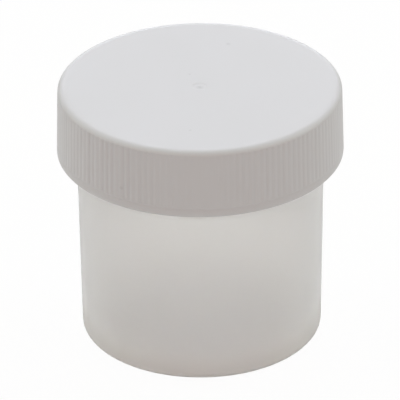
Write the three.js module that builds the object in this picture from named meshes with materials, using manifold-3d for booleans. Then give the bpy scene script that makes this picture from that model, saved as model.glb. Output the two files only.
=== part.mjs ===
// Slide staining jar: a wide-mouth moulded jar with a ribbed screw cap and a sealing liner.
// Millimetres, +Z up. The origin is the centre of the surface that the jar stands on.

import * as THREE from 'three';
import { mergeGeometries, mergeVertices } from 'three/addons/utils/BufferGeometryUtils.js';
import { ParametricGeometry } from 'three/addons/geometries/ParametricGeometry.js';
import Module from 'manifold-3d';

const wasm = await Module();
wasm.setup();

// Driving dimensions. A standard 76 x 26 mm slide stands on the floor with the cap closed.
const SLIDE_LENGTH = 76;
const SLIDE_HEADROOM = 2;

// Jar
const FLOOR_TOP = 3;
const FLOOR_THICKNESS = 1.8;
const WALL = 1.6;
const BODY_FOOT_RADIUS = 37.8;
const BODY_TOP_RADIUS = 38.7;
const BODY_TOP = 58.3;
const HEEL_RADIUS = 2.5;
const RING_WIDTH = 1.8;
const NECK_FOOT = 61.2;
const NECK_RADIUS = 40.4;
const NECK_WALL = 1.8;
const RIM_ROUND = 0.5;
const RIM_TOP = FLOOR_TOP + SLIDE_LENGTH + SLIDE_HEADROOM;

// Cap
const CAP_RADIUS = 45;
const CAP_HEIGHT = 21.9;
const SKIRT_DRAFT = 0.5;
const SHOULDER_WIDTH = 2.7;
const SHOULDER_HEIGHT = 1.2;
const SKIRT_BORE_RADIUS = 42.3;
const LID_THICKNESS = 1.9;
const FOOT_EDGE = 0.4;
const RIB_COUNT = 140;
const RIB_DEPTH = 0.3;
const RIB_LAND = 0.62;
const RIB_FOOT = 3;
const RIB_TOP = 2.4;

// Liner
const LINER_THICKNESS = 1;
const LINER_RADIUS = 41.8;
const SEAT_GAP = 0.2;

// Screw thread, right-handed, one start
const THREAD_LEAD = 5;
const THREAD_TURNS = 1.5;
const THREAD_ROOT_WIDTH = 2.4;
const THREAD_CREST_WIDTH = 1.2;
const JAR_THREAD_CREST = 41.9;
const CAP_THREAD_CREST = 40.9;
const JAR_THREAD_START = 70.2;
const CAP_THREAD_DROP = 1.95;
const THREAD_BURIED = 0.4;
const THREAD_FADE = 0.05;

// Gate marks left by moulding, on the lid and under the floor
const GATE_RADIUS = 2.3;
const GATE_DEPTH = 0.15;
const GATE_NUB_RADIUS = 1.2;
const GATE_NUB_HEIGHT = 0.4;

// Places worked out from the sizes above
const LINER_FOOT = RIM_TOP + SEAT_GAP;
const LID_UNDERSIDE = LINER_FOOT + LINER_THICKNESS + SEAT_GAP;
const CAP_FOOT = LID_UNDERSIDE + LID_THICKNESS - CAP_HEIGHT;

// Facets round each turned shape
const JAR_FACETS = 72;
const CAP_FACETS = RIB_COUNT;
const THREAD_FACETS = 72;
const GATE_FACETS = 16;

const naturalPlastic = new THREE.MeshStandardMaterial({
  name: 'natural_polypropylene',
  color: 0xd9d8d2,
  roughness: 0.35,
  metalness: 0,
  transparent: true,
  opacity: 0.6,
});
const whitePlastic = new THREE.MeshStandardMaterial({
  name: 'white_polypropylene',
  color: 0xe6e6e8,
  roughness: 0.4,
  metalness: 0,
});
const linerFoam = new THREE.MeshStandardMaterial({
  name: 'liner_foam',
  color: 0xf2f1ec,
  roughness: 0.8,
  metalness: 0,
});

// A closed geometry as a solid: shared corners are merged and collapsed faces are dropped.
function solidOf(geometry) {
  const bare = geometry.clone();
  bare.deleteAttribute('normal');
  bare.deleteAttribute('uv');
  const merged = mergeVertices(bare, 1e-4);
  const corners = merged.index.array;
  const kept = [];
  for (let i = 0; i < corners.length; i += 3) {
    const [a, b, c] = corners.slice(i, i + 3);
    if (a !== b && b !== c && c !== a) {
      kept.push(a, b, c);
    }
  }
  const mesh = new wasm.Mesh({
    numProp: 3,
    vertProperties: merged.attributes.position.array,
    triVerts: Uint32Array.from(kept),
  });
  return new wasm.Manifold(mesh);
}

function geometryOf(solid) {
  const mesh = solid.getMesh();
  const geometry = new THREE.BufferGeometry();
  geometry.setAttribute('position', new THREE.BufferAttribute(mesh.vertProperties, 3));
  geometry.setIndex(new THREE.BufferAttribute(mesh.triVerts, 1));
  geometry.computeVertexNormals();
  return geometry;
}

// Points of a quarter round about (radius, height), from one angle to another in degrees.
function round(radius, height, size, from, to, steps) {
  const points = [];
  for (let i = 0; i <= steps; i += 1) {
    const angle = THREE.MathUtils.degToRad(from + ((to - from) * i) / steps);
    points.push([radius + size * Math.cos(angle), height + size * Math.sin(angle)]);
  }
  return points;
}

// The flattened quarter round from the top of the skirt up to the flat lid, in so many steps.
function shoulder(steps) {
  const lidRadius = CAP_RADIUS - SKIRT_DRAFT - SHOULDER_WIDTH;
  const foot = CAP_HEIGHT - SHOULDER_HEIGHT;
  return round(0, 0, 1, 0, 90, steps).map(([across, up]) => [
    lidRadius + SHOULDER_WIDTH * across,
    foot + SHOULDER_HEIGHT * up,
  ]);
}

// A profile of [radius, height] pairs turned about the Z axis.
function turned(profile, facets) {
  const points = profile.map(([radius, height]) => new THREE.Vector2(radius, height));
  return new THREE.LatheGeometry(points, facets).rotateX(Math.PI / 2);
}

// A helical ridge of trapezium section. It stands out of a wall from the root radius to the crest
// radius, is buried a little way in that wall, and fades into it at both ends.
function threadRidge(wallRadius, crestRadius, startHeight) {
  const outward = Math.sign(crestRadius - wallRadius);
  const rootRadius = wallRadius - outward * THREAD_BURIED;
  const section = [
    [rootRadius, (outward * THREAD_ROOT_WIDTH) / 2],
    [crestRadius, (outward * THREAD_CREST_WIDTH) / 2],
    [crestRadius, (-outward * THREAD_CREST_WIDTH) / 2],
    [rootRadius, (-outward * THREAD_ROOT_WIDTH) / 2],
  ];
  const pointAt = (across, along, target) => {
    const [radius, height] = section[Math.round(across * section.length) % section.length];
    const turn = along * THREAD_TURNS;
    const share = Math.min(1, along / THREAD_FADE, (1 - along) / THREAD_FADE);
    const reach = rootRadius + (radius - rootRadius) * share;
    const angle = 2 * Math.PI * turn;
    target.set(
      reach * Math.cos(angle),
      reach * Math.sin(angle),
      startHeight + THREAD_LEAD * turn + height * share,
    );
  };
  const steps = Math.round(THREAD_TURNS * THREAD_FACETS);
  return new ParametricGeometry(pointAt, section.length, steps);
}

// A small disc on the axis, centred on the face that it marks, so half of it shows.
function gateDisc(radius, height, middle) {
  const disc = new THREE.CylinderGeometry(radius, radius, height, GATE_FACETS);
  return disc.rotateX(Math.PI / 2).translate(0, 0, middle);
}

// One moulding: recessed underside, rounded heel, tapered body, wider neck, threaded outside.
function makeJar() {
  const recessTop = FLOOR_TOP - FLOOR_THICKNESS;
  const ringOuter = BODY_FOOT_RADIUS - HEEL_RADIUS;
  const ringInner = ringOuter - RING_WIDTH;
  const innerHeel = HEEL_RADIUS - WALL / 2;
  const innerFoot = BODY_FOOT_RADIUS - WALL;
  const neckInner = NECK_RADIUS - NECK_WALL;
  const profile = [
    [0, recessTop],
    [ringInner - recessTop, recessTop],
    [ringInner, 0],
    ...round(ringOuter, HEEL_RADIUS, HEEL_RADIUS, -90, 0, 4),
    [BODY_TOP_RADIUS, BODY_TOP],
    [NECK_RADIUS, NECK_FOOT],
    ...round(NECK_RADIUS - RIM_ROUND, RIM_TOP - RIM_ROUND, RIM_ROUND, 0, 90, 2),
    ...round(neckInner + RIM_ROUND, RIM_TOP - RIM_ROUND, RIM_ROUND, 90, 180, 2),
    [neckInner, NECK_FOOT + NECK_WALL / 3],
    [BODY_TOP_RADIUS - WALL, BODY_TOP + NECK_WALL / 3],
    ...round(innerFoot - innerHeel, FLOOR_TOP + innerHeel, innerHeel, 0, -90, 3),
    [0, FLOOR_TOP],
  ];
  const shell = solidOf(turned(profile, JAR_FACETS));
  const thread = solidOf(threadRidge(NECK_RADIUS, JAR_THREAD_CREST, JAR_THREAD_START));
  const nub = solidOf(gateDisc(GATE_NUB_RADIUS, 2 * GATE_NUB_HEIGHT, recessTop));
  return geometryOf(shell.add(thread).add(nub));
}

// The grooves between the skirt's ribs: wedges that lean in with the skirt's draft.
function skirtGrooves() {
  const pitch = (2 * Math.PI * CAP_RADIUS) / RIB_COUNT;
  const halfWidth = (pitch - RIB_LAND) / 2;
  const overshoot = 0.5;
  const widening = (halfWidth * (RIB_DEPTH + overshoot)) / RIB_DEPTH;
  const wedge = new THREE.Shape([
    new THREE.Vector2(-RIB_DEPTH, 0),
    new THREE.Vector2(overshoot, -widening),
    new THREE.Vector2(overshoot, widening),
  ]);
  const length = CAP_HEIGHT - RIB_FOOT - RIB_TOP;
  const lean = Math.atan2(SKIRT_DRAFT, CAP_HEIGHT);
  const radiusAtFoot = CAP_RADIUS - (SKIRT_DRAFT * RIB_FOOT) / CAP_HEIGHT;
  const grooves = [];
  for (let i = 0; i < RIB_COUNT; i += 1) {
    const groove = new THREE.ExtrudeGeometry(wedge, { depth: length, bevelEnabled: false });
    groove.rotateY(-lean);
    groove.translate(radiusAtFoot * Math.cos(Math.PI / CAP_FACETS), 0, RIB_FOOT);
    groove.rotateZ((2 * Math.PI * (i + 0.5)) / RIB_COUNT);
    grooves.push(groove);
  }
  return mergeGeometries(grooves);
}

// One moulding, in a frame of its own whose origin is the centre of the skirt's foot.
function makeCap() {
  const underside = CAP_HEIGHT - LID_THICKNESS;
  const profile = [
    [0, underside],
    [SKIRT_BORE_RADIUS, underside],
    [SKIRT_BORE_RADIUS, FOOT_EDGE],
    [SKIRT_BORE_RADIUS + FOOT_EDGE, 0],
    [CAP_RADIUS - FOOT_EDGE, 0],
    [CAP_RADIUS, FOOT_EDGE],
    ...shoulder(5),
    [0, CAP_HEIGHT],
  ];
  const blank = solidOf(turned(profile, CAP_FACETS));
  const threadStart = JAR_THREAD_START - CAP_THREAD_DROP - CAP_FOOT;
  const thread = solidOf(threadRidge(SKIRT_BORE_RADIUS, CAP_THREAD_CREST, threadStart));
  const gate = solidOf(gateDisc(GATE_RADIUS, 2 * GATE_DEPTH, CAP_HEIGHT));
  const grooves = solidOf(skirtGrooves());
  return geometryOf(blank.add(thread).subtract(grooves).subtract(gate));
}

function makeLiner() {
  const disc = new THREE.CylinderGeometry(LINER_RADIUS, LINER_RADIUS, LINER_THICKNESS, JAR_FACETS);
  return disc.rotateX(Math.PI / 2).translate(0, 0, LINER_THICKNESS / 2);
}

function namedMesh(name, geometry, material, height) {
  const mesh = new THREE.Mesh(geometry, material);
  mesh.name = name;
  mesh.position.z = height;
  return mesh;
}

const stainingJar = new THREE.Group();
stainingJar.name = 'slide_staining_jar';
stainingJar.add(
  namedMesh('jar', makeJar(), naturalPlastic, 0),
  namedMesh('cap', makeCap(), whitePlastic, CAP_FOOT),
  namedMesh('cap_liner', makeLiner(), linerFoam, LINER_FOOT),
);

export default stainingJar;
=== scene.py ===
"""Looks of a slide staining jar: a natural polypropylene jar, its ribbed white cap and its liner.

Laid out as an add-on: sizes and colours are properties, each piece and the stage has an operator.
"""

import math

import bpy
import numpy as np
from mathutils import Matrix, Vector


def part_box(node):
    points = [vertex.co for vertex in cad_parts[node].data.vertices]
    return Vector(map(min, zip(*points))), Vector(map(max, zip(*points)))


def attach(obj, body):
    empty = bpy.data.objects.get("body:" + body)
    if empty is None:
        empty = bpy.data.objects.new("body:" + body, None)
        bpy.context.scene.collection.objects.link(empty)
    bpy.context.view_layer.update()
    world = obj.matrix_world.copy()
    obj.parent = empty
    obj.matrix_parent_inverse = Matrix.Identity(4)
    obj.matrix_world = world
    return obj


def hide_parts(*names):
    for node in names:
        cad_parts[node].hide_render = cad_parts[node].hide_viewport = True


bl_info = {
    "name": "Slide Staining Jar",
    "version": (1, 0, 0),
    "blender": (4, 5, 0),
    "location": "3D View > Sidebar > Staining Jar",
    "description": "Builds a moulded jar with a ribbed screw cap, its finishes and a plain stage",
    "category": "Object",
}

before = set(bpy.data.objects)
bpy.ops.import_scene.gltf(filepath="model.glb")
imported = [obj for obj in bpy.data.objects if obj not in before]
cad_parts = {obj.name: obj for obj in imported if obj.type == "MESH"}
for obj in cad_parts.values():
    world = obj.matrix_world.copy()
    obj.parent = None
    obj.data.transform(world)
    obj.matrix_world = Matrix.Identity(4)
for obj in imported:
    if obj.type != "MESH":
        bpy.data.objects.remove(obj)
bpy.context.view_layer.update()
JAR_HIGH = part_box("jar")[1]
CAP_LOW, CAP_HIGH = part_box("cap")
LINER_LOW, LINER_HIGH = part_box("cap_liner")

MM = 0.001

# Columns of points round each piece, and rows of points along the stretches that need them.
JAR_COLUMNS = 360
COLUMNS_PER_RIB = 6
LINER_COLUMNS = 240
BODY_ROWS = 12
JAR_THREAD_ROWS = 90
CAP_THREAD_ROWS = 32
FLARE_ROWS = 6
LINE_ROWS = 9
RIB_ROWS = 3
SHOULDER_STEPS = 12

# Wear of the cap's ribs. Angles are in degrees from the front, with the right side positive, and
# shares are of a rib's moulded depth.
WEAR_SPREAD = 15
WORN_SHARE = 0.75
SHARP_ANGLE = -38
SHARP_SHARE = 0.75
SOFT_ANGLE = 50
SOFT_SPREAD = 25
SOFT_SHARE = 0.4
MEAN_SHARE = 0.9
UNEVEN_SHARE = 0.35

# Small scuffs on the cap: the place of each from the middle of the lid, and its radius, in
# millimetres.
HANDLING_MARKS = (
    (0.0, -0.6, 0.0, 1.6),
    (9.1, 28.5, 0.0, 1.0),
    (-3.1, 8.2, 0.0, 0.6),
    (-3.1, -29.0, 0.0, 0.6),
    (-24.5, -37.5, -15.4, 0.8),
)

# Shares of a material's colour: in thick natural plastic, where the darker colour is partly painted
# shade at the foot by the floor and at the neck just below the cap, in the clouds and under the
# scuffs of the white plastic, and at the walls of the foam's cells.
THICK_AND_PAINTED_SHADE = 0.85
CLOUD_SHADE = 0.975
SCUFF_SHADE = 0.86
CELL_SHADE = 0.9

# The paper's own white: its share in the open, and what is left of that share under the jar, where
# the missing white is a painted shadow. It starts to grow DARK_INSET inside the edge of the foot.
# It is whole OPEN_INSET inside that edge, or OPEN_OUTSET outside it where gloss or plastic shows
# the paper, so that there the painted shadow reaches further out.
PAPER_GLOW = 0.95
GLOW_UNDER_JAR = 0.16
DARK_INSET = 3.3 * MM
OPEN_INSET = 1.7 * MM
OPEN_OUTSET = 20 * MM

# The stage: half the floor's side in metres, the lamps' angular size in degrees, and the strength
# of the light that comes from all round.
FLOOR_HALF = 30.0
LAMP_SPREAD = 35
FILL_STRENGTH = 0.42

# The camera: angles in degrees, lens and sensor in millimetres, its distance and the depth of its
# aim under the lid in radii of the cap, how far it is slid right and up, and how far it sees.
CAMERA_ELEVATION = 28.72
CAMERA_ROLL = -0.53
CAMERA_LENS = 643
CAMERA_SENSOR = 36
CAMERA_DISTANCE = 50
CAMERA_AIM = 0.9
CAMERA_SLIDE = (-0.25 * MM, 0.02 * MM, 0)
CAMERA_REACH = 100


def linear(hex_colour):
    """The linear red, green and blue of an sRGB hex colour."""
    channels = [int(hex_colour[i : i + 2], 16) / 255 for i in (1, 3, 5)]
    return tuple(
        c / 12.92 if c <= 0.04045 else ((c + 0.055) / 1.055) ** 2.4 for c in channels
    )


def size(name, description, default):
    """A length property, in metres."""
    return bpy.props.FloatProperty(
        name=name, description=description, default=default, min=0, unit="LENGTH", precision=5
    )


def swatch(name, description, hex_colour):
    """A colour property, kept linear."""
    return bpy.props.FloatVectorProperty(
        name=name,
        description=description,
        default=linear(hex_colour),
        size=3,
        min=0,
        max=1,
        subtype="COLOR",
    )


class JarSizes(bpy.types.PropertyGroup):
    """Sizes of the jar's moulding."""

    foot_radius: size("Foot radius", "Outside radius of the body at its foot", 37.8 * MM)
    body_radius: size("Body radius", "Outside radius of the body at its top", 38.7 * MM)
    body_top: size("Body top", "Height where the body widens into the neck", 58.3 * MM)
    neck_foot: size("Neck foot", "Height where the straight neck starts", 61.2 * MM)
    neck_radius: size("Neck radius", "Outside radius of the neck between the threads", 40.4 * MM)
    wall: size("Wall", "Thickness of the body's wall", 1.6 * MM)
    neck_wall: size("Neck wall", "Thickness of the neck's wall", 1.8 * MM)
    heel: size("Heel", "Radius of the rounded edge at the foot", 2.8 * MM)
    ring: size("Standing ring", "Width of the flat ring that the jar stands on", 1.8 * MM)
    ring_round: size("Ring round", "Radius of the ring's rounded inner edge", 0.4 * MM)
    recess_round: size("Recess round", "Radius of the corner inside the ring", 0.6 * MM)
    floor_top: size("Floor top", "Height of the floor inside", 3.0 * MM)
    floor: size("Floor", "Thickness of the floor", 1.8 * MM)
    gate_radius: size("Gate radius", "Radius of the gate's nub under the floor", 1.2 * MM)
    gate_height: size("Gate height", "How far the gate's nub stands out", 0.4 * MM)
    gate_round: size("Gate round", "Radius of the nub's rounded edges", 0.2 * MM)
    foot_height: size("Foot height", "Height where the body's even taper starts", 5.0 * MM)
    foot_taper: size("Foot taper", "How much wider the body is there than at its foot", 0.04 * MM)
    body_round: size("Body round", "Radius of the bend at the body's top", 0.3 * MM)
    neck_round: size("Neck round", "Radius of the wider bends between body and neck", 1.0 * MM)
    rim_round: size("Rim", "Radius of the rounded edges of the rim", 0.5 * MM)


class CapSizes(bpy.types.PropertyGroup):
    """Sizes of the cap's moulding."""

    draft: size("Draft", "How much smaller the skirt's radius is at the lid", 0.5 * MM)
    shoulder_width: size("Shoulder width", "Width of the lid's flattened round edge", 2.7 * MM)
    shoulder_height: size("Shoulder height", "Height of the lid's flattened round edge", 1.2 * MM)
    bore: size("Bore", "Inside radius of the skirt", 42.3 * MM)
    bore_round: size("Bore round", "Radius of the corner between bore and lid", 0.5 * MM)
    lid: size("Lid", "Thickness of the lid", 1.9 * MM)
    gate_radius: size("Gate radius", "Radius of the gate mark in the lid", 2.4 * MM)
    gate_slope: size("Gate slope", "Width of the gate mark's sloping edge", 0.5 * MM)
    gate_depth: size("Gate depth", "Depth of the gate mark", 0.06 * MM)
    gate_round: size("Gate round", "Radius of the gate mark's rounded edges", 0.3 * MM)
    pip_radius: size("Pip radius", "Radius of the pip in the gate mark", 0.7 * MM)
    pip_slope: size("Pip slope", "Width of the pip's sloping edge", 0.2 * MM)
    pip_drop: size("Pip drop", "How far the pip's top lies under the lid", 0.02 * MM)
    pip_round: size("Pip round", "Radius of the pip's rounded edges", 0.1 * MM)
    edge: size("Edge", "Radius of the rounded inner edge of the skirt's foot", 0.4 * MM)
    foot_round: size("Foot round", "Radius of the rounded outer edge of the skirt's foot", 0.7 * MM)
    foot_drop: size("Foot drop", "How far the skirt's foot reaches below the solid's", 0.3 * MM)
    foot_line: size("Foot line", "Depth of the line that parts the ribs from the foot", 0.2 * MM)
    line_drop: size("Line drop", "How far the line lies under the ends of the ribs", 0.1 * MM)
    line_above: size("Line above", "How far the line's upper side reaches", 0.35 * MM)
    line_below: size("Line below", "How far the line's lower side flares", 1.2 * MM)
    rib_depth: size("Rib depth", "Depth of the grooves between the ribs", 0.2 * MM)
    rib_foot: size("Rib foot", "Height of the smooth band under the ribs", 3.0 * MM)
    rib_top: size("Rib top", "Distance from the lid down to the ends of the ribs", 0.6 * MM)
    rib_start: size("Rib start", "Height over which a rib starts at its lower end", 0.5 * MM)
    rib_fade: size("Rib fade", "Height over which a rib fades at its upper end", 1.0 * MM)
    ribs: bpy.props.IntProperty(
        name="Ribs", description="Number of ribs round the skirt", default=140, min=3
    )


class LinerSizes(bpy.types.PropertyGroup):
    """Sizes of the foam disc, beyond those that the frame gives."""

    edge_round: size("Edge round", "Radius of the disc's rounded edges", 0.25 * MM)
    print_depth: size("Print depth", "How deep the rim is pressed into the foam", 0.12 * MM)
    print_slope: size("Print slope", "Width of the print's sloping edges", 0.1 * MM)
    print_round: size("Print round", "Radius of the print's rounded edges", 0.15 * MM)


class ThreadSizes(bpy.types.PropertyGroup):
    """Sizes of the one-start, right-handed thread on the jar and in the cap."""

    lead: size("Lead", "Rise in one turn", 5.0 * MM)
    start: size("Start", "Height of the lower end of the jar's ridge", 70.2 * MM)
    drop: size("Drop", "How far the cap's ridge lies below the jar's when closed", 1.95 * MM)
    jar_crest: size("Jar crest", "Radius of the crest of the jar's ridge", 41.9 * MM)
    cap_crest: size("Cap crest", "Radius of the crest of the cap's ridge", 40.9 * MM)
    root: size("Root width", "Height of the ridge where it leaves its wall", 2.2 * MM)
    crest: size("Crest width", "Height of the ridge at its crest", 1.2 * MM)
    turns: bpy.props.FloatProperty(
        name="Turns", description="Length of each ridge in turns", default=1.5, min=0.1
    )
    run_out: bpy.props.FloatProperty(
        name="Run-out",
        description="Share of a ridge's length over which each end fades",
        default=0.05,
        min=0.001,
        max=0.5,
    )


class Colours(bpy.types.PropertyGroup):
    """Colours of the mouldings and the stage."""

    natural: swatch("Natural plastic", "Uncoloured polypropylene", "#FDFCFA")
    white: swatch("White plastic", "Pigmented polypropylene", "#C8C8CA")
    foam: swatch("Foam", "Face of the liner", "#F0EFEA")
    floor: swatch("Floor", "Seamless paper under the jar", "#FCFCFC")


class StainingJar(bpy.types.PropertyGroup):
    """Everything that a user would change."""

    jar: bpy.props.PointerProperty(type=JarSizes)
    cap: bpy.props.PointerProperty(type=CapSizes)
    liner: bpy.props.PointerProperty(type=LinerSizes)
    thread: bpy.props.PointerProperty(type=ThreadSizes)
    colours: bpy.props.PointerProperty(type=Colours)


# Surfaces


def rounded(corners, steps=6):
    """A profile of (radius, height) points through (radius, height, fillet) corners.

    Each corner with a fillet becomes an arc that touches both of its sides. An extra point stands
    just before and after the arc, so that the flat sides beside it keep their shading.
    """
    corners = np.array(corners, float)
    points = [corners[0, :2]]
    for before, (radius, height, fillet), after in zip(corners, corners[1:], corners[2:]):
        here = np.array((radius, height))
        if fillet == 0:
            points.append(here)
            continue
        inward = (here - before[:2]) / np.linalg.norm(here - before[:2])
        outward = (after[:2] - here) / np.linalg.norm(after[:2] - here)
        turn = math.acos(np.clip(inward @ outward, -1, 1))
        reach = fillet * math.tan(turn / 2)
        beside = reach + 0.2 * fillet
        side = np.sign(inward[0] * outward[1] - inward[1] * outward[0])
        centre = here - inward * reach + side * fillet * np.array((-inward[1], inward[0]))
        angles = side * np.linspace(0, turn, steps + 1)[:, None]
        arm = here - inward * reach - centre
        swung = np.array((-arm[1], arm[0]))
        points.append(here - inward * beside)
        points.extend(centre + np.cos(angles) * arm + np.sin(angles) * swung)
        points.append(here + outward * beside)
    points.append(corners[-1, :2])
    return np.array(points)


def sharp_corners(radii, heights):
    """Corners without a fillet, one for each radius and its height."""
    return [(radius, height, 0) for radius, height in zip(radii, heights)]


def flattened_round(radius, height, width, rise, steps):
    """Corners along a quarter ellipse, from a wall at a radius in to a flat top at a height.

    The points are (radius - width + width cos a, height - rise + rise sin a) for a from 0 to 90
    degrees. An extra point stands on the wall just below them, and one on the flat just past them.
    """
    angle = np.radians(np.linspace(0, 90, steps + 1))
    across = radius - width + width * np.cos(angle)
    up = height - rise + rise * np.sin(angle)
    below = (radius, height - 1.2 * rise, 0)
    past = (radius - 1.15 * width, height, 0)
    return [below, *sharp_corners(across, up), past]


def rows_between(radius_low, low, radius_high, high, count):
    """Evenly spaced corners without a fillet on the line between two points, ends included."""
    share = np.linspace(0, 1, count)
    radii = radius_low + (radius_high - radius_low) * share
    return sharp_corners(radii, low + (high - low) * share)


def turned_piece(name, profile, columns, relief=None):
    """A profile turned about the Z axis as one closed mesh object.

    A point is (r cos a, r sin a, h) for each profile point (r, h) and each angle a, where relief
    adds to r. The first and last profile points are on the axis and become single points.
    """
    rows = profile[1:-1]
    angle = column_angles(columns)
    radius = rows[:, :1] + (0 if relief is None else relief)
    radius = np.broadcast_to(radius, (len(rows), columns))
    height = np.broadcast_to(rows[:, 1:], radius.shape)
    ring = np.stack((radius * np.cos(angle), radius * np.sin(angle), height), axis=-1)
    ends = np.array(((0, 0, profile[0, 1]), (0, 0, profile[-1, 1])))
    points = np.vstack((ring.reshape(-1, 3), ends))

    corner = np.arange(len(rows) * columns).reshape(len(rows), columns)
    beside = np.roll(corner, -1, axis=1)
    quads = np.stack((corner[:-1], beside[:-1], beside[1:], corner[1:]), axis=-1)
    first, last = len(points) - 2, len(points) - 1
    low_fan = np.stack((np.full(columns, first), beside[0], corner[0]), axis=-1)
    high_fan = np.stack((np.full(columns, last), corner[-1], beside[-1]), axis=-1)

    mesh = bpy.data.meshes.new(name)
    faces = quads.reshape(-1, 4).tolist() + low_fan.tolist() + high_fan.tolist()
    mesh.from_pydata(points.tolist(), [], faces)
    mesh.polygons.foreach_set("use_smooth", np.ones(len(faces), bool))
    mesh.update()
    piece = bpy.data.objects.new(name, mesh)
    bpy.context.scene.collection.objects.link(piece)
    return piece


def column_angles(columns):
    """The angles of a turned piece's columns."""
    return np.linspace(0, 2 * math.pi, columns, endpoint=False)[None, :]


def eased(share):
    """0 below 0, 1 above 1, and three times the square less twice the cube between."""
    share = np.clip(share, 0, 1)
    return share * share * (3 - 2 * share)


def thread_relief(height, angle, start, thread):
    """How far a helical ridge stands out of its wall, from 0 to 1.

    The ridge's middle is at start + lead a / 2 pi, where a also counts whole turns. It is full
    within half the crest width of that height, nothing past half the root width, and fades out
    over the run-out at each end of its length.
    """
    best = np.zeros(np.broadcast(height, angle).shape)
    for turn in range(math.ceil(thread.turns)):
        travelled = angle / (2 * math.pi) + turn
        along = travelled / thread.turns
        away = np.abs(height - start - thread.lead * travelled)
        flank = (thread.root / 2 - away) / (thread.root / 2 - thread.crest / 2)
        fade = eased(along / thread.run_out) * eased((1 - along) / thread.run_out)
        best = np.maximum(best, eased(flank) * fade)
    return best


def line_relief(height, line, above, below):
    """How deep the line that parts the ribs from the foot is, from 1 on the line itself to 0.

    It eases out to 0 as far from the line as it reaches, which differs above and below it.
    """
    reach = np.where(height > line, above, below)
    return eased(1 - np.abs(height - line) / reach)


def bell(angle, middle):
    """1 in the middle, and round it e to minus the square of the angle away, in spreads."""
    return np.exp(-np.square((angle - middle) / WEAR_SPREAD))


def rib_wear(angle):
    """How much of a rib is left round the skirt, about 1 where it is as moulded.

    Neighbours differ by a share of sin 47a cos 9a. On this, a bell at the front takes a share away
    where the cap is held, another to the left adds one where the ribs are sharp, and from the
    sides round to the back a share is gone.
    """
    front = np.degrees(np.arctan2(np.cos(angle), -np.sin(angle)))
    uneven = MEAN_SHARE + UNEVEN_SHARE * np.sin(47 * angle) * np.cos(9 * angle)
    worn = WORN_SHARE * bell(front, 0)
    sharp = SHARP_SHARE * bell(front, SHARP_ANGLE)
    soft = SOFT_SHARE * eased((np.abs(front) - SOFT_ANGLE) / SOFT_SPREAD)
    return uneven * (1 - worn) * (1 + sharp) * (1 - soft)


def rib_relief(height, angle, low, high, cap):
    """How deep a groove is, from 0 on a rib's rounded crest to about 1 in the valley beside it.

    Round the skirt it is 1 - |cos(ribs a / 2)|, times the wear. It eases in at the low end of the
    ribs and out at the high end.
    """
    starting = eased((height - low) / cap.rib_start)
    fading = eased((high - height) / cap.rib_fade)
    return starting * fading * rib_wear(angle) * (1 - np.abs(np.cos(cap.ribs * angle / 2)))


# Finishes


def add_node(tree, kind, inputs=None, **settings):
    """A node with its settings, and inputs given as values or as the sockets that feed them."""
    made = tree.nodes.new(kind)
    for name, value in settings.items():
        setattr(made, name, value)
    for name, value in (inputs or {}).items():
        if isinstance(value, bpy.types.NodeSocket):
            tree.links.new(value, made.inputs[name])
        else:
            made.inputs[name].default_value = value
    return made


def empty_material(name):
    """A material with no nodes yet."""
    material = bpy.data.materials.new(name)
    material.use_nodes = True
    material.node_tree.nodes.clear()
    return material


def shade(colour, share=1.0):
    """A share of a linear colour, as the red, green, blue and alpha of a colour socket."""
    return (*[channel * share for channel in colour], 1)


def thin_wall(tree, place, foot_radius, neck_foot):
    """1 in the thin wall and floor, 0 in the thick heel under the wall, and between in the neck.

    The wall's share is eased from the heel up, and falls to that of the neck below its foot. The
    floor's share falls to 0 where it meets the heel, and the greater of the two counts. Where it is
    low, the natural plastic's colour is darker: partly for the thicker moulding, partly as painted
    shade by the floor at the foot and just below the cap at the neck.
    """
    heel_low, heel_high = 1 * MM, 14 * MM
    neck_low, neck_high, neck_share = neck_foot - 4 * MM, neck_foot - 2 * MM, 0.4
    floor_inner, floor_outer = foot_radius - 5 * MM, foot_radius - 3 * MM
    axes = add_node(tree, "ShaderNodeSeparateXYZ", {0: place})
    flat = add_node(
        tree, "ShaderNodeCombineXYZ", {"X": axes.outputs["X"], "Y": axes.outputs["Y"]}
    )
    radius = add_node(tree, "ShaderNodeVectorMath", {0: flat.outputs[0]}, operation="LENGTH")
    above_heel = add_node(
        tree,
        "ShaderNodeMapRange",
        {"Value": axes.outputs["Z"], "From Min": heel_low, "From Max": heel_high},
        interpolation_type="SMOOTHSTEP",
    )
    below_neck = add_node(
        tree,
        "ShaderNodeMapRange",
        {
            "Value": axes.outputs["Z"],
            "From Min": neck_low,
            "From Max": neck_high,
            "To Min": 1.0,
            "To Max": neck_share,
        },
    )
    wall = add_node(
        tree,
        "ShaderNodeMath",
        {0: above_heel.outputs["Result"], 1: below_neck.outputs["Result"]},
        operation="MULTIPLY",
    )
    floor = add_node(
        tree,
        "ShaderNodeMapRange",
        {
            "Value": radius.outputs["Value"],
            "From Min": floor_inner,
            "From Max": floor_outer,
            "To Min": 1.0,
            "To Max": 0.0,
        },
    )
    thin = add_node(
        tree,
        "ShaderNodeMath",
        {0: wall.outputs[0], 1: floor.outputs["Result"]},
        operation="MAXIMUM",
    )
    return thin.outputs[0]


def moulded_skin(tree, place, grain):
    """The normal of a moulding's faintly uneven skin: noise of one grain, a few microns deep.

    The real skin is too fine to show on a whole jar, so the grain is drawn over a millimetre wide.
    """
    noise = add_node(
        tree, "ShaderNodeTexNoise", {"Vector": place, "Scale": 1 / grain, "Detail": 2.0}
    )
    bump = add_node(
        tree,
        "ShaderNodeBump",
        {"Height": noise.outputs["Fac"], "Strength": 0.15, "Distance": 0.02 * MM},
    )
    return bump.outputs["Normal"]


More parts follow.
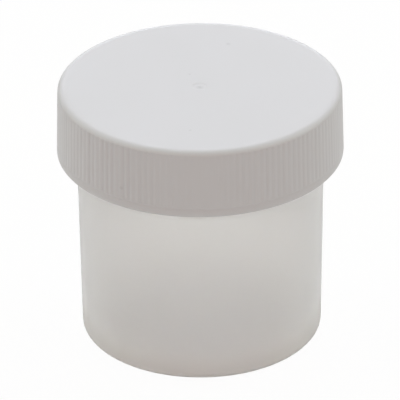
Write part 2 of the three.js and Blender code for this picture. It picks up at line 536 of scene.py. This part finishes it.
def natural_polypropylene(colour, foot_radius, neck_foot):
    """Moulded natural polypropylene: it scatters light through its wall and is cloudy, not clear.

    The eye sees a soft glow, a blurred far side and a dull sheen with a faint flow texture. Where
    the moulding is thick it passes less light and blurs more. There its colour is also darker,
    painted shade towards the foot by the floor and at the neck just below the cap.
    """
    material = empty_material("natural_polypropylene_moulded")
    tree = material.node_tree
    place = add_node(tree, "ShaderNodeTexCoord").outputs["Object"]
    thin = thin_wall(tree, place, foot_radius, neck_foot)
    cloudiness = 0.12
    cloud = add_node(
        tree, "ShaderNodeTexNoise", {"Vector": place, "Scale": 1 / (18 * MM), "Detail": 3.0}
    )
    uneven = add_node(
        tree,
        "ShaderNodeMath",
        {0: cloud.outputs["Fac"], 1: cloudiness, 2: -cloudiness / 2},
        operation="MULTIPLY_ADD",
    )
    clouded = add_node(tree, "ShaderNodeMath", {0: thin, 1: uneven.outputs[0]}, operation="ADD")
    # Painted shade: the colour darkens towards the foot by the floor and at the neck just below the
    # cap, as well as in the thicker moulding there.
    tint = add_node(
        tree,
        "ShaderNodeMix",
        {
            "Factor": clouded.outputs[0],
            "A": shade(colour, THICK_AND_PAINTED_SHADE),
            "B": shade(colour),
        },
        data_type="RGBA",
    )
    dull = add_node(
        tree, "ShaderNodeMapRange", {"Value": clouded.outputs[0], "To Min": 0.8, "To Max": 0.4}
    )
    clear = add_node(
        tree, "ShaderNodeMapRange", {"Value": thin, "To Min": 0.5, "To Max": 0.65}
    )
    side = add_node(tree, "ShaderNodeNewGeometry")
    passed = add_node(
        tree,
        "ShaderNodeMath",
        {0: side.outputs["Backfacing"], 1: clear.outputs["Result"]},
        operation="MAXIMUM",
    )
    shader = add_node(
        tree,
        "ShaderNodeBsdfPrincipled",
        {
            "Base Color": tint.outputs["Result"],
            "Roughness": dull.outputs["Result"],
            "IOR": 1.49,
            "Transmission Weight": passed.outputs[0],
            "Subsurface Weight": 1.0,
            "Subsurface Radius": (1.0, 1.0, 0.95),
            "Subsurface Scale": 2.5 * MM,
            "Normal": moulded_skin(tree, place, 1.4 * MM),
        },
    )
    add_node(tree, "ShaderNodeOutputMaterial", {"Surface": shader.outputs["BSDF"]})
    return material


def handling_marks(tree, place):
    """1 in the middle of each small mark from handling and fading to 0 at its edge."""
    marks = 0.0
    for x, y, z, radius in HANDLING_MARKS:
        away = add_node(
            tree,
            "ShaderNodeVectorMath",
            {0: place, 1: (x * MM, y * MM, CAP_HIGH.z + z * MM)},
            operation="DISTANCE",
        )
        mark = add_node(
            tree,
            "ShaderNodeMapRange",
            {
                "Value": away.outputs["Value"],
                "From Min": 0.0,
                "From Max": radius * MM,
                "To Min": 1.0,
                "To Max": 0.0,
            },
        )
        strongest = add_node(
            tree, "ShaderNodeMath", {0: marks, 1: mark.outputs["Result"]}, operation="MAXIMUM"
        )
        marks = strongest.outputs[0]
    return marks


def white_polypropylene(colour):
    """Moulded white polypropylene: pigmented, with a satin face and slightly waxy edges.

    The eye also sees a few small grey scuffs, as on a cap that has been handled.
    """
    material = empty_material("white_polypropylene_moulded")
    tree = material.node_tree
    place = add_node(tree, "ShaderNodeTexCoord").outputs["Object"]
    cloud = add_node(
        tree, "ShaderNodeTexNoise", {"Vector": place, "Scale": 1 / (25 * MM), "Detail": 3.0}
    )
    tint = add_node(
        tree,
        "ShaderNodeMix",
        {
            "Factor": cloud.outputs["Fac"],
            "A": shade(colour, CLOUD_SHADE),
            "B": shade(colour),
        },
        data_type="RGBA",
    )
    scuffed = add_node(
        tree,
        "ShaderNodeMix",
        {
            "Factor": handling_marks(tree, place),
            "A": tint.outputs["Result"],
            "B": shade(colour, SCUFF_SHADE),
        },
        data_type="RGBA",
    )
    dull = add_node(
        tree,
        "ShaderNodeMapRange",
        {"Value": cloud.outputs["Fac"], "To Min": 0.42, "To Max": 0.5},
    )
    shader = add_node(
        tree,
        "ShaderNodeBsdfPrincipled",
        {
            "Base Color": scuffed.outputs["Result"],
            "Roughness": dull.outputs["Result"],
            "IOR": 1.49,
            "Subsurface Weight": 0.3,
            "Subsurface Radius": (1.0, 0.95, 0.9),
            "Subsurface Scale": 0.8 * MM,
            "Normal": moulded_skin(tree, place, 1.1 * MM),
        },
    )
    add_node(tree, "ShaderNodeOutputMaterial", {"Surface": shader.outputs["BSDF"]})
    return material


def liner_foam(colour):
    """Expanded polyethylene sheet: matt, with fine closed cells that roughen its face."""
    material = empty_material("polyethylene_foam_sheet")
    tree = material.node_tree
    place = add_node(tree, "ShaderNodeTexCoord").outputs["Object"]
    cells = add_node(
        tree, "ShaderNodeTexVoronoi", {"Vector": place, "Scale": 1 / (0.5 * MM)}
    )
    tint = add_node(
        tree,
        "ShaderNodeMix",
        {
            "Factor": cells.outputs["Distance"],
            "A": shade(colour),
            "B": shade(colour, CELL_SHADE),
        },
        data_type="RGBA",
    )
    bump = add_node(
        tree,
        "ShaderNodeBump",
        {"Height": cells.outputs["Distance"], "Strength": 0.4, "Distance": 0.05 * MM},
        invert=True,
    )
    shader = add_node(
        tree,
        "ShaderNodeBsdfPrincipled",
        {
            "Base Color": tint.outputs["Result"],
            "Roughness": 0.75,
            "IOR": 1.45,
            "Subsurface Weight": 0.2,
            "Subsurface Scale": 1.0 * MM,
            "Normal": bump.outputs["Normal"],
        },
    )
    add_node(tree, "ShaderNodeOutputMaterial", {"Surface": shader.outputs["BSDF"]})
    return material


def seen_plainly(tree):
    """1 for a ray that shows its surroundings, straight or by gloss or glass, and 0 for others."""
    path = add_node(tree, "ShaderNodeLightPath")
    camera_or_gloss = add_node(
        tree,
        "ShaderNodeMath",
        {0: path.outputs["Is Camera Ray"], 1: path.outputs["Is Glossy Ray"]},
        operation="MAXIMUM",
    )
    seen = add_node(
        tree,
        "ShaderNodeMath",
        {0: camera_or_gloss.outputs[0], 1: path.outputs["Is Transmission Ray"]},
        operation="MAXIMUM",
    )
    return seen.outputs[0]


def seamless_paper(colour, foot_radius):
    """Seamless white paper, dead matt.

    Where it is seen, part of its white is its own, so that it stays white to the horizon and the
    shadow on it is faint. The paper under the jar has little of its own, and is dark, as it is
    under
    a real jar: a painted shadow. Through the jar's wall, and in its gloss, this painted shadow runs
    on round the foot before the paper is white.
    """
    material = empty_material("seamless_paper")
    tree = material.node_tree
    matt = add_node(tree, "ShaderNodeBsdfDiffuse", {"Color": shade(colour)})
    white = add_node(
        tree, "ShaderNodeEmission", {"Color": shade(linear("#FFFFFF")), "Strength": 1.0}
    )
    place = add_node(tree, "ShaderNodeTexCoord").outputs["Object"]
    away = add_node(tree, "ShaderNodeVectorMath", {0: place}, operation="LENGTH")
    straight = add_node(tree, "ShaderNodeLightPath").outputs["Is Camera Ray"]
    edge = add_node(
        tree,
        "ShaderNodeMapRange",
        {
            "Value": straight,
            "To Min": foot_radius + OPEN_OUTSET,
            "To Max": foot_radius - OPEN_INSET,
        },
    )
    # Painted shadow: the paper's own white falls away under the jar and, for every ray but the
    # camera's, round its foot.
    open_share = add_node(
        tree,
        "ShaderNodeMapRange",
        {
            "Value": away.outputs["Value"],
            "From Min": foot_radius - DARK_INSET,
            "From Max": edge.outputs["Result"],
            "To Min": GLOW_UNDER_JAR * PAPER_GLOW,
            "To Max": PAPER_GLOW,
        },
        interpolation_type="SMOOTHSTEP",
    )
    share = add_node(
        tree,
        "ShaderNodeMath",
        {0: seen_plainly(tree), 1: open_share.outputs["Result"]},
        operation="MULTIPLY",
    )
    shader = add_node(
        tree,
        "ShaderNodeMixShader",
        {0: share.outputs[0], 1: matt.outputs["BSDF"], 2: white.outputs["Emission"]},
    )
    add_node(tree, "ShaderNodeOutputMaterial", {"Surface": shader.outputs["Shader"]})
    return material


# Operators


def dress(piece, material, body, node):
    """Gives a finished piece its material and its body, and hides the node that it stands for."""
    piece.data.materials.append(material)
    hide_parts(node)
    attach(piece, body)


class STAININGJAR_OT_jar(bpy.types.Operator):
    """Builds the jar: recessed foot, tapered body, wider neck and external thread"""

    bl_idname = "staining_jar.jar"
    bl_label = "Jar"

    def execute(self, context):
        settings = context.scene.staining_jar
        jar, thread = settings.jar, settings.thread
        rim = JAR_HIGH.z
        recess = jar.floor_top - jar.floor
        ring_outer = jar.foot_radius - jar.heel
        ring_inner = ring_outer - jar.ring
        gate_end = recess - jar.gate_height
        # The taper's rows end just short of the bend at its top.
        taper_foot = jar.foot_radius + jar.foot_taper
        taper_top = jar.body_top - 1 * MM
        neck_inner = jar.neck_radius - jar.neck_wall
        # The neck's rows cover the ridge and a little more at each end.
        thread_low = thread.start - thread.root
        thread_high = thread.start + thread.turns * thread.lead + thread.root
        # The inside bends a little higher than the outside, and so keeps the slope's wall thick.
        step = jar.neck_wall / 3
        profile = rounded(
            [
                (0, gate_end, 0),
                (jar.gate_radius, gate_end, jar.gate_round),
                (jar.gate_radius + 0.1 * MM, recess, jar.gate_round),
                (ring_inner - recess, recess, jar.recess_round),
                (ring_inner, 0, jar.ring_round),
                (jar.foot_radius, 0, jar.heel),
                *rows_between(taper_foot, jar.foot_height, jar.body_radius, taper_top, BODY_ROWS),
                (jar.body_radius, jar.body_top, jar.body_round),
                (jar.neck_radius, jar.neck_foot, jar.neck_round),
                *rows_between(
                    jar.neck_radius, thread_low, jar.neck_radius, thread_high, JAR_THREAD_ROWS
                ),
                (jar.neck_radius, rim, jar.rim_round),
                (neck_inner, rim, jar.rim_round),
                (neck_inner, jar.neck_foot + step, jar.neck_round),
                (jar.body_radius - jar.wall, jar.body_top + step, jar.neck_round),
                (jar.foot_radius - jar.wall, jar.floor_top, jar.heel - jar.wall / 2),
                (0, jar.floor_top, 0),
            ]
        )
        rows = profile[1:-1]
        ridge = thread_relief(rows[:, 1:], column_angles(JAR_COLUMNS), thread.start, thread)
        on_neck = rows[:, :1] > jar.neck_radius - 0.1 * MM
        relief = (thread.jar_crest - jar.neck_radius) * ridge * on_neck
        piece = turned_piece("jar_body", profile, JAR_COLUMNS, relief)
        dress(
            piece,
            natural_polypropylene(settings.colours.natural, jar.foot_radius, jar.neck_foot),
            "jar",
            "jar",
        )
        return {"FINISHED"}


class STAININGJAR_OT_cap(bpy.types.Operator):
    """Builds the cap: lid with its gate mark, rounded shoulder, ribbed skirt and inner thread"""

    bl_idname = "staining_jar.cap"
    bl_label = "Cap"

    def execute(self, context):
        settings = context.scene.staining_jar
        cap, thread = settings.cap, settings.thread
        foot, top, outer = CAP_LOW.z - cap.foot_drop, CAP_HIGH.z, CAP_HIGH.x
        underside = top - cap.lid
        start = thread.start - thread.drop
        thread_low = start - thread.root
        thread_high = start + thread.turns * thread.lead + thread.root
        rib_foot = foot + cap.rib_foot
        rib_top = top - cap.rib_top
        line = rib_foot - cap.line_drop
        gate_floor = top - cap.gate_depth
        pip_top = top - cap.pip_drop
        columns = COLUMNS_PER_RIB * cap.ribs

        def skirt(height):
            return outer - cap.draft * (height - foot) / (top - foot)

        def skirt_rows(low, high, count):
            return rows_between(skirt(low), low, skirt(high), high, count)

        # Rows stand close where the line and the lower ends of the ribs bend the skirt, sparsely
        # along the ribs, and once under their upper ends.
        profile = rounded(
            [
                (0, underside, 0),
                (cap.bore, underside, cap.bore_round),
                *rows_between(cap.bore, thread_high, cap.bore, thread_low, CAP_THREAD_ROWS),
                (cap.bore, foot, cap.edge),
                (outer, foot, cap.foot_round),
                *skirt_rows(line - cap.line_below, line - 0.2 * MM, FLARE_ROWS),
                *skirt_rows(line - 0.1 * MM, line + 0.7 * MM, LINE_ROWS),
                *skirt_rows(rib_foot + 2 * MM, rib_top - 3 * MM, RIB_ROWS),
                (skirt(rib_top - 1.2 * MM), rib_top - 1.2 * MM, 0),
                *flattened_round(
                    skirt(top), top, cap.shoulder_width, cap.shoulder_height, SHOULDER_STEPS
                ),
                (cap.gate_radius, top, cap.gate_round),
                (cap.gate_radius - cap.gate_slope, gate_floor, cap.gate_round),
                (cap.pip_radius, gate_floor, cap.pip_round),
                (cap.pip_radius - cap.pip_slope, pip_top, cap.pip_round),
                (0, pip_top, 0),
            ],
            steps=4,
        )
        rows = profile[1:-1]
        angle = column_angles(columns)
        height = rows[:, 1:]
        in_bore = np.abs(rows[:, :1] - cap.bore) < 0.01 * MM
        on_skirt = rows[:, :1] > cap.bore + 1 * MM
        ridge = thread_relief(height, angle, start, thread) * in_bore
        groove = rib_relief(height, angle, rib_foot, rib_top, cap) * on_skirt
        parting = line_relief(height, line, cap.line_above, cap.line_below) * on_skirt
        relief = (
            (thread.cap_crest - cap.bore) * ridge
            - cap.rib_depth * groove
            - cap.foot_line * parting
        )
        piece = turned_piece("screw_cap", profile, columns, relief)
        dress(
            piece,
            white_polypropylene(settings.colours.white),
            "cap",
            "cap",
        )
        return {"FINISHED"}


class STAININGJAR_OT_liner(bpy.types.Operator):
    """Builds the liner: a foam disc with the rim's print pressed into its underside"""

    bl_idname = "staining_jar.liner"
    bl_label = "Liner"

    def execute(self, context):
        settings = context.scene.staining_jar
        jar, liner = settings.jar, settings.liner
        low, high, outer = LINER_LOW.z, LINER_HIGH.z, LINER_HIGH.x
        print_inner, print_outer = jar.neck_radius - jar.neck_wall, jar.neck_radius
        pressed = low + liner.print_depth
        profile = rounded(
            [
                (0, low, 0),
                (print_inner, low, liner.print_round),
                (print_inner + liner.print_slope, pressed, liner.print_round),
                (print_outer - liner.print_slope, pressed, liner.print_round),
                (print_outer, low, liner.print_round),
                (outer, low, liner.edge_round),
                (outer, high, liner.edge_round),
                (0, high, 0),
            ]
        )
        piece = turned_piece("foam_liner", profile, LINER_COLUMNS)
        dress(piece, liner_foam(settings.colours.foam), "liner", "cap_liner")
        return {"FINISHED"}


def add_sun(name, azimuth, elevation, strength, tint):
    """A distant lamp. Azimuth 0 stands in front of the jar and 90 on its +X side."""
    lamp = bpy.data.lights.new(name, "SUN")
    lamp.energy = strength
    lamp.angle = math.radians(LAMP_SPREAD)
    lamp.color = linear(tint)
    sun = bpy.data.objects.new(name, lamp)
    turn = Matrix.Rotation(math.radians(azimuth), 4, "Z")
    lean = Matrix.Rotation(math.radians(90 - elevation), 4, "X")
    sun.matrix_world = turn @ lean
    bpy.context.scene.collection.objects.link(sun)


class STAININGJAR_OT_stage(bpy.types.Operator):
    """Builds the stage: pale floor, soft lamps, white surroundings and the camera"""

    bl_idname = "staining_jar.stage"
    bl_label = "Stage"

    def execute(self, context):
        self.add_floor(context)
        self.add_light(context)
        self.add_camera(context)
        return {"FINISHED"}

    def add_floor(self, context):
        settings = context.scene.staining_jar
        half = FLOOR_HALF
        corners = [(-half, -half, 0), (half, -half, 0), (half, half, 0), (-half, half, 0)]
        mesh = bpy.data.meshes.new("floor")
        mesh.from_pydata(corners, [], [(0, 1, 2, 3)])
        mesh.materials.append(seamless_paper(settings.colours.floor, settings.jar.foot_radius))
        floor = bpy.data.objects.new("floor", mesh)
        context.scene.collection.objects.link(floor)

    def add_light(self, context):
        add_sun("low_back", 180, 20, 0.93, "#ECEEFF")
        add_sun("high_back", 180, 50, 0.12, "#A8D8FF")
        add_sun("front", 0, 20, 0.11, "#FFB3AA")
        for side in (-1, 1):
            add_sun("back_side", 120 * side, 50, 0.69, "#EAFFF8")
            add_sun("front_side", 60 * side, 50, 0.29, "#FFDDD0")
        world = bpy.data.worlds.new("studio")
        context.scene.world = world
        world.use_nodes = True
        tree = world.node_tree
        tree.nodes.clear()
        fill = add_node(
            tree,
            "ShaderNodeBackground",
            {"Color": shade(linear("#FFF6EE")), "Strength": FILL_STRENGTH},
        )
        white = add_node(
            tree, "ShaderNodeBackground", {"Color": shade(linear("#FFFFFF")), "Strength": 1.0}
        )
        shown = add_node(
            tree,
            "ShaderNodeMixShader",
            {0: seen_plainly(tree), 1: fill.outputs[0], 2: white.outputs[0]},
        )
        add_node(tree, "ShaderNodeOutputWorld", {"Surface": shown.outputs[0]})

    def add_camera(self, context):
        elevation = math.radians(CAMERA_ELEVATION)
        distance = CAMERA_DISTANCE * CAP_HIGH.x
        aim = Vector((0, 0, CAP_HIGH.z - CAMERA_AIM * CAP_HIGH.x))
        back = Vector((0, -math.cos(elevation), math.sin(elevation)))
        camera = bpy.data.cameras.new("camera")
        camera.sensor_width = CAMERA_SENSOR
        camera.lens = CAMERA_LENS
        camera.clip_end = CAMERA_REACH
        eye = bpy.data.objects.new("camera", camera)
        lean = Matrix.Rotation(math.pi / 2 - elevation, 4, "X")
        roll = Matrix.Rotation(math.radians(CAMERA_ROLL), 4, "Z")
        slide = Matrix.Translation(CAMERA_SLIDE)
        eye.matrix_world = Matrix.Translation(aim + back * distance) @ lean @ roll @ slide
        context.scene.collection.objects.link(eye)
        context.scene.camera = eye
        context.scene.view_settings.view_transform = "Standard"


OPERATORS = (STAININGJAR_OT_jar, STAININGJAR_OT_cap, STAININGJAR_OT_liner, STAININGJAR_OT_stage)


class STAININGJAR_PT_panel(bpy.types.Panel):
    """Lists the operators in the sidebar"""

    bl_idname = "STAININGJAR_PT_panel"
    bl_label = "Staining Jar"
    bl_space_type = "VIEW_3D"
    bl_region_type = "UI"
    bl_category = "Staining Jar"

    def draw(self, context):
        settings = context.scene.staining_jar
        groups = (settings.jar, settings.cap, settings.liner, settings.thread, settings.colours)
        for operator in OPERATORS:
            self.layout.operator(operator.bl_idname)
        for group in groups:
            box = self.layout.box()
            for name in group.bl_rna.properties.keys():
                if name not in {"rna_type", "name"}:
                    box.prop(group, name)


CLASSES = (
    JarSizes,
    CapSizes,
    LinerSizes,
    ThreadSizes,
    Colours,
    StainingJar,
    *OPERATORS,
    STAININGJAR_PT_panel,
)


def register():
    for cls in CLASSES:
        bpy.utils.register_class(cls)
    bpy.types.Scene.staining_jar = bpy.props.PointerProperty(type=StainingJar)


def unregister():
    del bpy.types.Scene.staining_jar
    for cls in reversed(CLASSES):
        bpy.utils.unregister_class(cls)


def main():
    register()
    bpy.ops.staining_jar.stage()
    bpy.ops.staining_jar.jar()
    bpy.ops.staining_jar.cap()
    bpy.ops.staining_jar.liner()
    bpy.context.view_layer.update()


if __name__ == "__main__":
    main()
